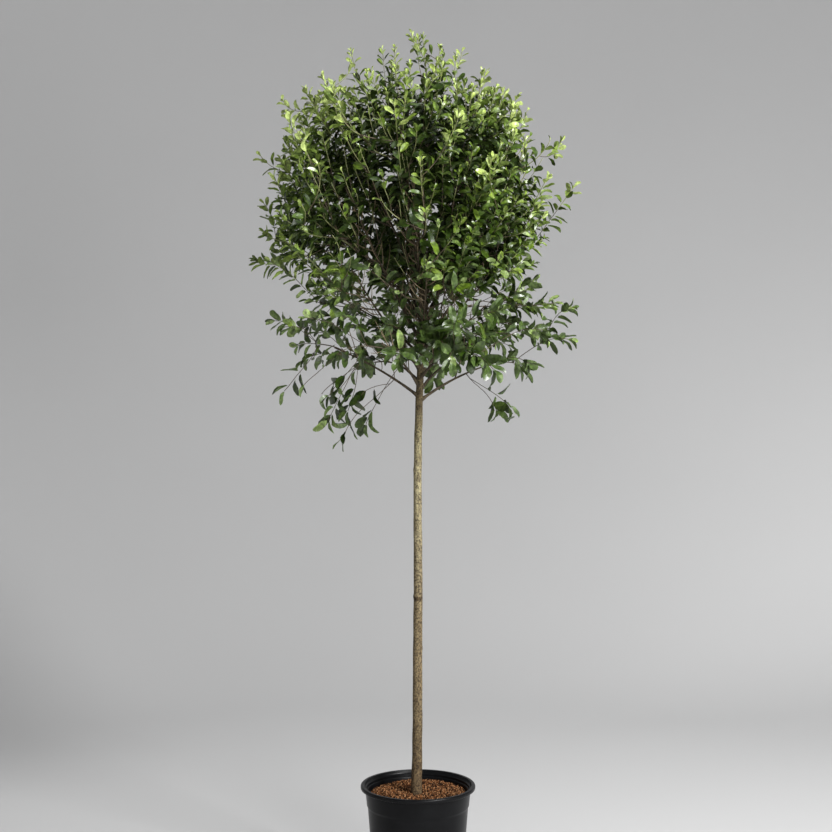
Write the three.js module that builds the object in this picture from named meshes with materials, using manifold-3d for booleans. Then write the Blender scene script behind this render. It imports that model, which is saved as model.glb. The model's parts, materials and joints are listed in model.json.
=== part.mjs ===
// A standard tree in a pot: one clear stem, a round open head of small leaves, a round nursery pot and its potting mix.
// Millimetres, +Z up. The origin is the middle of the pot's flat underside, and -Y is the front.
import * as THREE from "three";
import { ConvexGeometry } from "three/addons/geometries/ConvexGeometry.js";
import { mergeVertices } from "three/addons/utils/BufferGeometryUtils.js";
import Module from "manifold-3d";

const wasm = await Module();
wasm.setup();

// Gap that neighbouring solids keep, and the shortest edge that a joined solid keeps
const GAP = 0.3;
const SHORTEST_EDGE = 0.02;

// Pot
const POT = {
  height: 281,
  rimRadius: 149,
  rimHeight: 10,
  rimWidth: 10,
  bandRadius: 136.5,
  bandFoot: 229,
  bandStep: 2.2,
  baseRadius: 113,
  wall: 2.6,
  floor: 3.2,
  sides: 36,
};
const DRAIN = { count: 6, radius: 8, out: 88, sides: 10 };

// Potting mix: how far its surface lies below the rim at the stem, on the mound round it and at the wall
const MIX = { atStem: 25, onMound: 19, atWall: 32, stemFlat: 26, moundRadius: 82 };
const GROUND = POT.height - MIX.atStem;

// Stem: its radii, and how far it stands to the right at some heights
const STEM = { foot: 14.6, footTaper: 45, lower: 13.2, fork: 9.8, tip: 6.2, forkHeight: 1274, top: 1604 };
const STEM_LEAN = [
  [GROUND, -4.4],
  [400, -1.5],
  [640, -1],
  [760, 0.4],
  [1110, -0.8],
  [1330, 5],
  [STEM.top, 18],
];
const STEM_MESH = { sides: 10, steps: 13 };

// Crown outline: a height, and how far the leaves reach there to the left and to the right
const OUTLINE = [
  [1168, 205, 215],
  [1250, 300, 272],
  [1330, 350, 290],
  [1400, 320, 350],
  [1470, 385, 400],
  [1530, 305, 395],
  [1590, 345, 362],
  [1650, 430, 340],
  [1760, 412, 340],
  [1860, 408, 405],
  [1940, 412, 385],
  [2010, 372, 320],
  [2070, 330, 268],
  [2130, 240, 200],
  [2190, 150, 118],
  [2240, 24, 24],
];
// Below its top the foliage thins out. It hangs lowest at the left, less at the right, and least at the front and back.
const SKIRT = { top: 1440, left: 1168, right: 1218, front: 1338, clear: 62, thin: 0.6 };
// The point that the shoots fan out from
const FAN = new THREE.Vector3(8, 0, 1500);

// Rings of foliage masses from the lowest up: their number, the middle's height and distance from the axis, the turn of
// the first, and for their boughs the rise in degrees out of the stem, the root's radius and the share of the way
const RINGS = [
  { name: "skirt", count: 6, height: 1400, stagger: 15, out: 225, turn: 4, rise: 38, bough: 4.8, share: 0.55 },
  { name: "low", count: 6, height: 1570, stagger: 35, out: 210, turn: 34, rise: 46, bough: 5, share: 0.6 },
  { name: "middle", count: 7, height: 1765, stagger: 45, out: 228, turn: 8, rise: 56, bough: 5.3, share: 0.6 },
  { name: "upper", count: 5, height: 1960, stagger: 35, out: 170, turn: 35, rise: 68, bough: 5.1, share: 0.66 },
  { name: "top", count: 1, height: 2065, stagger: 0, out: 0, turn: 0, rise: 90, bough: STEM.tip, share: 0.62 },
];
const FORK = { first: 1276, step: 11.6 };
const BOUGH_MESH = { sides: 5, short: 200, tip: 3.6 };

// Twigs and leaves, larger than life and few
const TIPS = 149;
const TIP_TRIES = 14;
const INNER_EVERY = 6;
// The furthest shoots: how far to the right, how far back, and how high they reach
const FAR_TIPS = [
  [-18, 0, 2247],
  [57, -25, 2206],
  [-177, 10, 2200],
  [168, -20, 2140],
  [-352, -30, 2062],
  [290, 20, 2050],
  [-415, 0, 1925],
  [378, -10, 1963],
  [416, 5, 1850],
  [-434, 10, 1650],
  [410, -20, 1520],
  [405, 30, 1436],
  [-382, -20, 1484],
  [-352, -40, 1294],
  [-198, -50, 1168],
  [214, -60, 1228],
];
const TWIG = {
  stem: 3.3,
  sides: 3,
  straight: 130,
  thinner: 0.62,
  taper: 0.85,
  thinnest: 1.2,
  joints: [0.35, 0.55, 0.72],
  fork: 0.5,
  back: 0.95,
};
const LEAF = {
  length: 102,
  width: 64,
  thick: 1.7,
  widest: 0.5,
  ridge: 0.3,
  slots: [0.985, 0.3, 0.5, 0.7, 0.87],
  tries: 6,
};
const LEAN = { side: 1.25, change: 0.3, end: 0.2, facing: 0.4 };
const GOLDEN = Math.PI * (3 - Math.sqrt(5));
const SEED = 20260;

const UP = new THREE.Vector3(0, 0, 1);
const degrees = THREE.MathUtils.degToRad;
const at = (x, y, z) => new THREE.Vector3(x, y, z);

// Numbers from 0 to 1 that are the same on every run
function seeded(seed) {
  return () => {
    seed = (seed + 0x6d2b79f5) | 0;
    let t = Math.imul(seed ^ (seed >>> 15), 1 | seed);
    t = (t + Math.imul(t ^ (t >>> 7), 61 | t)) ^ t;
    return ((t ^ (t >>> 14)) >>> 0) / 4294967296;
  };
}

// Reads columns of a table at a height, with straight lines between its rows
function readTable(rows, height, column) {
  const i = THREE.MathUtils.clamp(rows.findIndex((row) => row[0] > height), 1, rows.length - 1);
  const last = height >= rows[rows.length - 1][0] ? rows.length - 1 : i;
  const [low, high] = [rows[last - 1], rows[last]];
  const share = THREE.MathUtils.clamp((height - low[0]) / (high[0] - low[0]), 0, 1);
  return low[column] + share * (high[column] - low[column]);
}

// A closed geometry as a solid that can be cut and joined
function solidOf(geometry) {
  const bare = geometry.clone();
  bare.deleteAttribute("normal");
  if (bare.getAttribute("uv")) bare.deleteAttribute("uv");
  const merged = mergeVertices(bare, 1e-4);
  return new wasm.Manifold(
    new wasm.Mesh({
      numProp: 3,
      vertProperties: new Float32Array(merged.attributes.position.array),
      triVerts: new Uint32Array(merged.index.array),
    }),
  );
}

// The largest body of a solid, without hollows that are sealed in or loose scraps
const largest = (solid) => solid.decompose().reduce((a, b) => (b.volume() > a.volume() ? b : a));

function geometryOf(solid) {
  const mesh = solid.getMesh();
  return new THREE.BufferGeometry()
    .setAttribute("position", new THREE.BufferAttribute(new Float32Array(mesh.vertProperties), 3))
    .setIndex(new THREE.BufferAttribute(new Uint32Array(mesh.triVerts), 1));
}

// Joins two solids. It gives nothing where an edge of the joined one would belong to more than two faces.
function joined(first, second) {
  const solid = first.add(second).simplify(SHORTEST_EDGE);
  const index = mergeVertices(geometryOf(solid), 1e-3).index.array;
  const edges = new Map();
  for (let i = 0; i < index.length; i += 3) {
    const face = [index[i], index[i + 1], index[i + 2]];
    if (new Set(face).size < 3) continue;
    for (const [from, to] of [[0, 1], [1, 2], [2, 0]]) {
      const edge = Math.min(face[from], face[to]) + "," + Math.max(face[from], face[to]);
      edges.set(edge, (edges.get(edge) || 0) + 1);
    }
  }
  return [...edges.values()].every((faces) => faces === 2) ? solid : null;
}

const corners = (geometry) => {
  const position = geometry.getAttribute("position");
  return Array.from({ length: position.count }, (_, i) => new THREE.Vector3().fromBufferAttribute(position, i));
};

// A profile of [radius, height] points, turned about the Z axis
function turned(profile, sides) {
  const points = profile.map(([radius, height]) => new THREE.Vector2(radius, height));
  return new THREE.LatheGeometry(points, sides).rotateX(Math.PI / 2);
}

// A tapering limb along a curve. The cylinder's own rings are moved to the curve, square to it.
function limb(curve, baseRadius, tipRadius, sides, steps) {
  const geometry = new THREE.CylinderGeometry(tipRadius, baseRadius, 1, sides, steps);
  const frames = curve.computeFrenetFrames(steps, false);
  const position = geometry.getAttribute("position");
  for (let i = 0; i < position.count; i++) {
    const ring = Math.round((position.getY(i) + 0.5) * steps);
    const place = curve
      .getPointAt(ring / steps)
      .addScaledVector(frames.normals[ring], position.getX(i))
      .addScaledVector(frames.binormals[ring], -position.getZ(i));
    position.setXYZ(i, place.x, place.y, place.z);
  }
  return geometry;
}

// A curve as a run of straight pieces, which is where the faceted limb along it really lies
function straightened(curve, steps) {
  const path = new THREE.CurvePath();
  const points = curve.getSpacedPoints(steps);
  for (let i = 0; i < steps; i++) path.add(new THREE.LineCurve3(points[i], points[i + 1]));
  return path;
}

// Pot

// Radius of the pot's outer wall below the band
const wallRadius = (height) =>
  POT.baseRadius + ((POT.bandRadius - 3.5 - POT.bandStep - POT.baseRadius) * height) / POT.bandFoot;
const innerRadius = (height) => wallRadius(height) - POT.wall;

function potGeometry() {
  const lip = POT.height - POT.rimHeight;
  const outside = [
    [0, 0],
    [POT.baseRadius - 4, 0],
    [POT.baseRadius, 4],
    [wallRadius(POT.bandFoot - 3), POT.bandFoot - 3],
    [POT.bandRadius - 3.5, POT.bandFoot],
    [POT.bandRadius, lip],
    [POT.rimRadius - 1.5, lip],
    [POT.rimRadius, lip + 2.5],
    [POT.rimRadius, POT.height - 3],
    [POT.rimRadius - 3, POT.height],
  ];
  const inside = [
    [POT.rimRadius - POT.rimWidth, POT.height],
    [POT.bandRadius - 3.5 - POT.wall, POT.bandFoot + 4],
    [innerRadius(POT.bandFoot), POT.bandFoot],
    [innerRadius(POT.floor), POT.floor],
    [0, POT.floor],
  ];
  let pot = solidOf(turned([...outside, ...inside], POT.sides));
  for (let i = 0; i < DRAIN.count; i++) {
    const hole = new THREE.CylinderGeometry(DRAIN.radius, DRAIN.radius, 4 * POT.floor, DRAIN.sides).rotateX(Math.PI / 2);
    const angle = (i * 2 * Math.PI) / DRAIN.count;
    hole.translate(DRAIN.out * Math.cos(angle), DRAIN.out * Math.sin(angle), 0);
    pot = pot.subtract(solidOf(hole));
  }
  return geometryOf(pot);
}

function mixGeometry() {
  const wallTop = POT.height - MIX.atWall;
  const clear = 2 * GAP;
  const profile = [
    [0, POT.floor + GAP],
    [innerRadius(POT.floor + GAP) - clear, POT.floor + GAP],
    [innerRadius(POT.bandFoot) - clear, POT.bandFoot],
    [innerRadius(POT.bandFoot) - clear, wallTop],
    [(innerRadius(POT.bandFoot) + MIX.moundRadius) / 2, POT.height - (MIX.onMound + MIX.atWall) / 2 + 2],
    [MIX.moundRadius, POT.height - MIX.onMound],
    [MIX.stemFlat, GROUND],
    [0, GROUND],
  ];
  return geometryOf(solidOf(turned(profile, POT.sides)));
}

// Stem

function stemRadius(height) {
  const rows = [
    [GROUND, STEM.foot],
    [GROUND + STEM.footTaper, STEM.lower],
    [STEM.forkHeight, STEM.fork],
    [STEM.top, STEM.tip],
  ];
  return readTable(rows, height, 1);
}

const leanCurve = new THREE.CatmullRomCurve3(STEM_LEAN.map(([height, right]) => at(right, 0, height)));

// The middle of the stem at a height
function stemMiddle(height) {
  const rows = leanCurve.getPoints(60).map((p) => [p.z, p.x]);
  return at(readTable(rows, height, 1), 0, height);
}

// The stem with level rings, so that its foot is cut flat, and any extra thickness all round
function stemGeometry(extra = 0) {
  const height = STEM.top - GROUND - GAP;
  const geometry = new THREE.CylinderGeometry(1, 1, height, STEM_MESH.sides, STEM_MESH.steps).rotateX(Math.PI / 2);
  geometry.translate(0, 0, GROUND + GAP + height / 2);
  const position = geometry.getAttribute("position");
  for (let i = 0; i < position.count; i++) {
    const z = position.getZ(i);
    const radius = stemRadius(z) + extra;
    const middle = stemMiddle(z);
    position.setXY(i, middle.x + radius * position.getX(i), middle.y + radius * position.getY(i));
  }
  return geometry;
}

// Crown

function reachAt(height, azimuth) {
  const right = (1 + Math.cos(azimuth)) / 2;
  return readTable(OUTLINE, height, 1) * (1 - right) + readTable(OUTLINE, height, 2) * right;
}

// The height down to which the foliage hangs
function lowestAt(azimuth) {
  const side = Math.cos(azimuth) < 0 ? SKIRT.left : SKIRT.right;
  return SKIRT.front + (side - SKIRT.front) * Math.abs(Math.cos(azimuth)) ** 1.5;
}

// How thickly the shoots stand at a height: the hanging skirt is thinner
function thickness(height) {
  const below = THREE.MathUtils.clamp((SKIRT.top - height) / (SKIRT.top - SKIRT.left), 0, 1);
  return 1 - SKIRT.thin * below;
}

// Places for the shoots' tips, each as far from the others as the best of a few tries
function scatterTips(count, random) {
  const [lowest, highest] = [OUTLINE[0][0], OUTLINE[OUTLINE.length - 1][0]];
  const tips = FAR_TIPS.map(([x, y, z]) => at(x, y, z));
  while (tips.length < count) {
    const inner = tips.length % INNER_EVERY === INNER_EVERY - 1;
    let best = null;
    for (let i = 0; i < TIP_TRIES; i++) {
      const height = lowest + (highest - lowest) * random();
      const azimuth = 2 * Math.PI * random();
      const depth = inner ? 0.25 + 0.5 * random() : 0.93 + 0.07 * random();
      const out = reachAt(height, azimuth) * depth;
      if (height < lowestAt(azimuth) || (height < SKIRT.top && out < SKIRT.clear)) continue;
      const place = at(out * Math.cos(azimuth), out * Math.sin(azimuth), height);
      const nearest = Math.min(1e6, ...tips.map((tip) => tip.distanceTo(place)));
      const score = nearest * thickness(height);
      if (!best || score > best.score) best = { score, place };
    }
    if (best) tips.push(best.place);
  }
  return tips;
}

// The foliage masses' names and middles
function planMasses() {
  return RINGS.flatMap((ring) =>
    Array.from({ length: ring.count }, (_, i) => {
      // Boughs leave the stem one above another, neighbours in height on opposite sides
      const place = (i % 2) * Math.ceil(ring.count / 2) + Math.floor(i / 2);
      const azimuth = degrees(ring.turn) + (place * 2 * Math.PI) / ring.count;
      const side = at(Math.cos(azimuth), Math.sin(azimuth), 0);
      const height = ring.height + ring.stagger * (i % 2 ? 1 : -1);
      const middle = at(FAN.x, 0, height).addScaledVector(side, ring.out);
      return { label: ring.count > 1 ? ring.name + "_" + (place + 1) : ring.name, ring, side, middle };
    }),
  );
}

// A stretch of a curve as a curve of its own
function stretch(curve, from, to) {
  const points = Array.from({ length: 9 }, (_, i) => curve.getPoint(from + ((to - from) * i) / 8));
  return new THREE.CatmullRomCurve3(points);
}

// One line from the stem to a mass's middle. Its first part is the bough, and the rest is the stem of the mass.
function layBough(mass, index, inCell) {
  const { ring, side, middle } = mass;
  const leader = ring.rise === 90;
  const start = leader ? stemMiddle(STEM.top).setZ(STEM.top + GAP) : stemMiddle(FORK.first + FORK.step * index);
  const leaving = side.clone().multiplyScalar(Math.cos(degrees(ring.rise))).setZ(Math.sin(degrees(ring.rise)));
  const elbow = start.clone().addScaledVector(leaving, 0.5 * start.distanceTo(middle));
  const line = new THREE.QuadraticBezierCurve3(start, elbow, middle);
  let enters = 1;
  while (enters > 0.02 && inCell(line.getPoint(enters - 0.02))) enters -= 0.02;
  const end = Math.max(ring.share, enters);
  mass.bough = stretch(line, 0, end);
  mass.stem = stretch(line, end + GAP / line.getLength(), 0.94);
  mass.leader = leader;
}

// A cell of the crown: the places nearer to this middle than to any other, with a gap at the borders
function cellOf(mass, masses) {
  const borders = masses
    .filter((other) => other !== mass)
    .map((other) => {
      const across = other.middle.clone().sub(mass.middle).normalize();
      const half = other.middle.clone().add(mass.middle).multiplyScalar(0.5);
      return { across, limit: across.dot(half) - GAP };
    });
  return (place) => borders.every(({ across, limit }) => across.dot(place) < limit);
}

// A leaf along X: a pointed blade of six faces with a ridge on top, from a share of its length to its tip
function leafGeometry(length, start = 0) {
  const half = (length * LEAF.width) / LEAF.length / 2;
  const under = -LEAF.thick / 3;
  const points = [at(start * length, 0, 0), at(LEAF.ridge * length, 0, LEAF.thick + under), at(length, 0, 0)];
  for (const side of [-half, half]) points.push(at(LEAF.widest * length, side, under));
  return new ConvexGeometry(points);
}

// The turn and place that lay a leaf's length along a direction, with its face turned as far as it goes to another
function leafPlace(root, along, facing) {
  const across = new THREE.Vector3().crossVectors(facing, along).normalize();
  const face = new THREE.Vector3().crossVectors(along, across);
  return new THREE.Matrix4().makeBasis(along, across, face).setPosition(root);
}

// A direction that leans away from another, to the side that the turn gives
function leaning(heading, turn, lean) {
  const side = new THREE.Vector3().crossVectors(heading, Math.abs(heading.z) < 0.9 ? UP : at(1, 0, 0)).normalize();
  side.applyAxisAngle(heading, turn);
  return heading.clone().multiplyScalar(Math.cos(lean)).addScaledVector(side, Math.sin(lean));
}

// Grows one mass: its stem, twigs from the stem to the tips in its cell, and leaves on the twigs
function growMass(mass, tips, limbs, random) {
  const fits = (geometry, solid) => corners(geometry).every(mass.inCell) && solid.intersect(limbs).isEmpty();
  const joints = [];
  const addJoints = (path, shares, base, tip) => {
    for (const share of shares) {
      const radius = base + share * (tip - base);
      joints.push({ place: path.getPoint(share), heading: path.getTangent(share), radius });
    }
  };
  let grown = solidOf(limb(mass.stem, BOUGH_MESH.tip, TWIG.stem, 4, 2));
  addJoints(straightened(mass.stem, 2), [0.3, 0.6, 0.9], BOUGH_MESH.tip, TWIG.stem);
  const root = mass.stem.getPoint(0);
  const twigs = [];
  const own = tips.filter(mass.inCell).sort((a, b) => a.distanceTo(root) - b.distanceTo(root));
  for (const tip of own) {
    const fan = tip.clone().sub(FAN).normalize();
    const end = tip.clone().addScaledVector(fan, -TWIG.back * LEAF.length);
    const costOf = (joint) => {
      const way = end.clone().sub(joint.place);
      return way.length() * (1.3 + Math.abs(way.angleTo(joint.heading) - TWIG.fork));
    };
    const joint = joints.reduce((a, b) => (costOf(b) < costOf(a) ? b : a));
    const way = end.clone().sub(joint.place);
    if (way.length() < 15) continue;
    const bend = end.clone().addScaledVector(fan, -0.4 * way.length());
    const curve = new THREE.QuadraticBezierCurve3(joint.place, bend, end);
    const steps = way.length() < TWIG.straight ? 1 : 2;
    const base = Math.max(TWIG.thinnest, TWIG.thinner * joint.radius);
    const thin = Math.max(TWIG.thinnest, TWIG.taper * base);
    const geometry = limb(curve, base, thin, TWIG.sides, steps);
    const solid = solidOf(geometry);
    const larger = fits(geometry, solid) ? joined(grown, solid) : null;
    if (!larger) continue;
    grown = larger;
    const path = straightened(curve, steps);
    addJoints(path, TWIG.joints, base, thin);
    twigs.push(path);
  }
  const addLeaf = (place, direction, facing, length) => {
    const lay = leafPlace(place, direction, facing);
    const geometry = leafGeometry(length).applyMatrix4(lay);
    const solid = solidOf(geometry);
    const blade = solidOf(leafGeometry(length, 0.1).applyMatrix4(lay));
    if (!fits(geometry, solid) || !blade.intersect(grown).isEmpty()) return false;
    const larger = joined(grown, solid);
    grown = larger || grown;
    return larger !== null;
  };
  for (const path of twigs) {
    const first = 2 * Math.PI * random();
    LEAF.slots.forEach((share, i) => {
      const last = share === LEAF.slots[0];
      const heading = path.getTangent(share);
      const length = last ? LEAF.length : LEAF.length * (0.8 + 0.3 * random());
      for (let turn = 0; turn < LEAF.tries; turn++) {
        const angle = first + i * GOLDEN + (turn * 2 * Math.PI) / LEAF.tries;
        const direction = leaning(heading, angle, last ? LEAN.end : LEAN.side - LEAN.change * (turn % 3));
        const facing = leaning(heading, last ? angle + 2 : 2 * Math.PI * random(), last ? 1.4 : LEAN.facing);
        if (addLeaf(path.getPoint(share), direction, facing, length * (1 - 0.05 * turn))) return;
      }
    });
  }
  return geometryOf(largest(grown));
}

// Assembly

const MATERIALS = {
  plastic: new THREE.MeshStandardMaterial({ color: 0x1d1e20, roughness: 0.45, metalness: 0 }),
  mix: new THREE.MeshStandardMaterial({ color: 0x7a4a2b, roughness: 0.95, metalness: 0 }),
  bark: new THREE.MeshStandardMaterial({ color: 0x8f8463, roughness: 0.85, metalness: 0 }),
  leaves: new THREE.MeshStandardMaterial({ color: 0x4c6b2c, roughness: 0.45, metalness: 0 }),
};

function named(name, geometry, material) {
  const mesh = new THREE.Mesh(geometry, material);
  mesh.name = name;
  return mesh;
}

const tree = new THREE.Group();
tree.add(named("pot", potGeometry(), MATERIALS.plastic));
tree.add(named("potting_mix", mixGeometry(), MATERIALS.mix));
tree.add(named("stem", stemGeometry(), MATERIALS.bark));

const masses = planMasses();
masses.forEach((mass, i) => {
  mass.inCell = cellOf(mass, masses);
  layBough(mass, i, mass.inCell);
});

const stemSpace = solidOf(stemGeometry(GAP + 0.15));
let limbs = solidOf(stemGeometry(1));
for (const { label, bough, ring, leader } of masses) {
  const steps = bough.getLength() < BOUGH_MESH.short ? 2 : 3;
  const inflated = (extra) => solidOf(limb(bough, ring.bough + extra, BOUGH_MESH.tip + extra, BOUGH_MESH.sides, steps));
  const solid = leader ? inflated(0) : largest(inflated(0).subtract(stemSpace));
  tree.add(named("bough_" + label, geometryOf(solid), MATERIALS.bark));
  limbs = limbs.add(inflated(1));
}

const tips = scatterTips(TIPS, seeded(SEED));
masses.forEach((mass, i) => {
  const geometry = growMass(mass, tips, limbs, seeded(SEED + 1 + i));
  tree.add(named("foliage_" + mass.label, geometry, MATERIALS.leaves));
});

export default tree;
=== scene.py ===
# A standard tree in its nursery pot. Metres, +Z up. The crown grows by the solids' rule, carried on to finer
# shoots with small leaves.
import json
import math
from types import SimpleNamespace as Values

import bmesh
import bpy
import numpy as np
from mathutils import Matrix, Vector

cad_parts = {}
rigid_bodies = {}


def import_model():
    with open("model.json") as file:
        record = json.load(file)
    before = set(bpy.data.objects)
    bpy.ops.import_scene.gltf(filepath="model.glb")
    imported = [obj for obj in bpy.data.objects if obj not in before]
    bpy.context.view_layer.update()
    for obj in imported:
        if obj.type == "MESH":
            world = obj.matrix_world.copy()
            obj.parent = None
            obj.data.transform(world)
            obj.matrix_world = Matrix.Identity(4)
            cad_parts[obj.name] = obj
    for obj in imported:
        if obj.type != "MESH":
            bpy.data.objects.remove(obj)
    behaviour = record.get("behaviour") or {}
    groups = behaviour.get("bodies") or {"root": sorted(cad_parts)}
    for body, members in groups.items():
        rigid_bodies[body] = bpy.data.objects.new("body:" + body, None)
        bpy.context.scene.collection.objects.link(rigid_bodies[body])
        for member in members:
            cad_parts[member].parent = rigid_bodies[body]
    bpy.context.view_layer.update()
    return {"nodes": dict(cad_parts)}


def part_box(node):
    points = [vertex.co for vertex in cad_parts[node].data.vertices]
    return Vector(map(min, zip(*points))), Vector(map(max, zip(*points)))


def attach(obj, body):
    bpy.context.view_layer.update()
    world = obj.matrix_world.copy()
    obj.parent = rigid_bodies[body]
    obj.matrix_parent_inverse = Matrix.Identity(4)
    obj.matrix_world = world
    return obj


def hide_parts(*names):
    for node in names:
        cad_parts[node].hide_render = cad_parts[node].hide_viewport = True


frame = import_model()

UP = np.array([0.0, 0.0, 1.0])
# From this share of upright on, a direction counts as upright
UPRIGHT = 0.9
SEED = 20260

# Crown outline: height, and the leaves' reach to the left and to the right
OUTLINE = np.array([
    (1.168, 0.205, 0.215), (1.250, 0.300, 0.272), (1.330, 0.350, 0.290),
    (1.400, 0.320, 0.350), (1.470, 0.385, 0.400), (1.530, 0.305, 0.395),
    (1.590, 0.345, 0.362), (1.650, 0.430, 0.340), (1.760, 0.412, 0.340),
    (1.860, 0.408, 0.405), (1.940, 0.412, 0.385), (2.010, 0.372, 0.320),
    (2.070, 0.330, 0.268), (2.130, 0.240, 0.200), (2.190, 0.150, 0.118),
    (2.240, 0.024, 0.024),
])
# Below its top the foliage thins out, keeps clear of the stem and hangs down to three heights
SKIRT = Values(top=1.440, left=1.168, right=1.218, front=1.338, round=1.5, clear=0.062, thin=0.6)
# The point that the shoots fan out from
FAN = np.array([0.008, 0.0, 1.5])

# Rings of foliage masses: number, height, stagger, distance out, first turn, their boughs' rise and radius
RINGS = [
    (6, 1.400, 0.015, 0.225, 4, 38, 0.0048),
    (6, 1.570, 0.035, 0.210, 34, 46, 0.0050),
    (7, 1.765, 0.045, 0.228, 8, 56, 0.0053),
    (5, 1.960, 0.035, 0.170, 35, 68, 0.0051),
    (1, 2.065, 0.0, 0.0, 0, 90, 0.0062),
]
# The height where the first bough leaves the stem, and the step up to each next one
FORK = Values(first=1.276, step=0.0116)
STEM_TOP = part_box("stem")[1].z
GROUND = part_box("stem")[0].z
# Boughs: the bend's share of the length, the tip's radius, the foot's share of the ring's radius, the taper
BOUGH = Values(bend=0.5, tip=0.0018, foot=0.9, taper=1.7)

# The places that the furthest shoots reach
FAR_TIPS = [
    (-0.018, 0.0, 2.247), (0.057, -0.025, 2.206), (-0.177, 0.010, 2.200),
    (0.168, -0.020, 2.140), (-0.352, -0.030, 2.062), (0.290, 0.020, 2.050),
    (-0.415, 0.0, 1.925), (0.378, -0.010, 1.963), (0.416, 0.005, 1.850),
    (-0.434, 0.010, 1.650), (0.410, -0.020, 1.520), (0.405, 0.030, 1.436),
    (-0.382, -0.020, 1.484), (-0.352, -0.040, 1.294), (-0.198, -0.050, 1.168),
    (0.214, -0.060, 1.228),
]
# The shoot in front with a rosette of long leaves: its place and what is different there
ROSETTE = np.array([0.112, -0.245, 1.445])
ROSETTE_LEAVES = Values(within=0.02, leafy=0.052, apart=0.75, build=1.9)
# That one, and single shoots that hang below the crown
SINGLE_TIPS = [
    (-0.300, -0.050, 1.310), (-0.255, -0.040, 1.285), (-0.236, -0.060, 1.216),
    (-0.205, -0.050, 1.300), (-0.185, -0.050, 1.240), (-0.150, -0.060, 1.280),
    (0.238, -0.050, 1.252), tuple(ROSETTE),
]
# Where more shoots stand together in the thin lower crown: the middle, the half sizes and how many
GROUPS = [
    ((0.275, -0.040, 1.475), (0.110, 0.120, 0.065), 13),
    ((0.125, -0.160, 1.395), (0.090, 0.060, 0.050), 8),
    ((0.000, -0.110, 1.510), (0.120, 0.070, 0.070), 8),
    ((0.000, 0.160, 1.440), (0.200, 0.080, 0.080), 4),
    ((0.050, 0.240, 1.560), (0.150, 0.070, 0.055), 7),
    ((-0.250, -0.060, 1.555), (0.060, 0.100, 0.050), 3),
    ((-0.110, -0.100, 1.450), (0.060, 0.080, 0.045), 5),
]
# Openings in the foliage: the middle, the half sizes and how open
WINDOWS = [
    ((-0.07, -0.22, 1.66), (0.125, 0.24, 0.11), 0.75),
    ((0.02, 0.00, 1.53), (0.110, 0.50, 0.05), 0.35),
    ((-0.17, -0.27, 1.84), (0.170, 0.19, 0.16), 0.55),
    ((0.31, 0.00, 2.03), (0.045, 0.50, 0.05), 0.80),
    ((0.30, 0.00, 1.90), (0.060, 0.50, 0.05), 0.50),
    ((-0.18, 0.00, 1.34), (0.170, 0.50, 0.05), 0.50),
    ((0.14, -0.05, 1.24), (0.060, 0.50, 0.05), 0.90),
    ((-0.19, 0.00, 1.66), (0.080, 0.50, 0.05), 0.60),
]
# An opening is full out to the first share of its half sizes and ends at the second
WINDOW_EDGE = (0.75, 1.25)
# Main shoots end where they do in the solids, and finer ones fill the crown between. The inner ones and the
# others end at these shares of the reach. Each picks its joint by the distance, at least the given one, the
# fork's angle and the turn from its aim, and bends at a share of its length from its end.
MAIN_SHOOTS = Values(
    count=149, tries=14, inner_every=6, inner=(0.25, 0.75), outer=(0.93, 1.0), seed=SEED,
    least=0.0, by_fork=1.0, by_aim=0.4, bend=0.38,
)
FINE_SHOOTS = Values(
    count=740, tries=7, inner_every=3, inner=(0.3, 0.66), outer=(0.68, 0.92), seed=SEED + 99,
    least=0.14, by_fork=0.7, by_aim=1.5, bend=0.28,
)
# By height: the share of finer shoots that stays, the length of a shoot's leafy end, the share of leaves that
# stays further in, how far apart leaf pairs are, how young and lit leaves look, with painted light low down
# and painted shade in the middle of the crown, and how long they are
BY_HEIGHT = {
    "height": (1.17, 1.38, 1.46, 1.58, 1.65, 1.76, 2.04, 2.13),
    "stay": (0.03, 0.03, 0.03, 0.03, 0.45, 1.00, 1.00, 0.06),
    "leafy": (0.06, 0.10, 0.08, 0.08, 0.14, 0.22, 0.24, 0.10),
    "inner": (0.0, 0.0, 0.0, 0.03, 0.16, 0.38, 0.38, 0.20),
    "apart": (1.70, 1.50, 1.35, 1.25, 1.05, 1.0, 1.0, 1.10),
    "young": (0.20, 0.22, 0.30, 0.27, 0.11, -0.06, 0.01, 0.11),
    "leaf": (0.046, 0.049, 0.046, 0.039, 0.036, 0.035, 0.034, 0.027),
}

# How steeply a shoot's end turns up, or down, by height
LIFT = np.array([(1.20, -0.5), (1.36, -0.3), (1.50, 0.05), (1.75, 0.35), (2.00, 0.6), (2.25, 0.4)])
# Twigs: the thinnest radius, its growth with the load and its greatest share of the parent's, the fork's
# angle, a piece's length and the wave. Then distances: between joints, from the last one to the tip, from the
# tip to the leaves' tips and from a joint to a new tip, and the shortest twig.
TWIG = Values(
    thin=0.00085, pipe=0.42, thickest=0.8, fork=0.4, piece=0.016, wave=0.03,
    joint=0.028, bare_tip=0.03, leaf_room=0.012, nearest=0.03, shortest=0.02,
)
# The length of a twig's green end, above a height
GREEN_END = Values(length=0.09, above=1.62)
# Short bare twigs on the boughs, between two heights
SPURS = Values(low=1.38, high=1.78, length=0.075, points=5, foot=0.0013, tip=0.0007)

# Leaf pairs from a shoot's tip inwards: the first distance and gap, how the gaps widen and up to what, the
# share of the shoot with pairs, how the leafy end and the gaps vary, and the share of leaves that stays
PAIRS = Values(
    first=0.004, gap=0.010, widen=1.15, widest=0.0185, to=0.97, leafy=(0.75, 1.15), leafy_to=0.92,
    leafy_gap=(0.85, 1.15), inner_gap=(1.6, 2.4), stays=0.96, turn=0.25,
)
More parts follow.
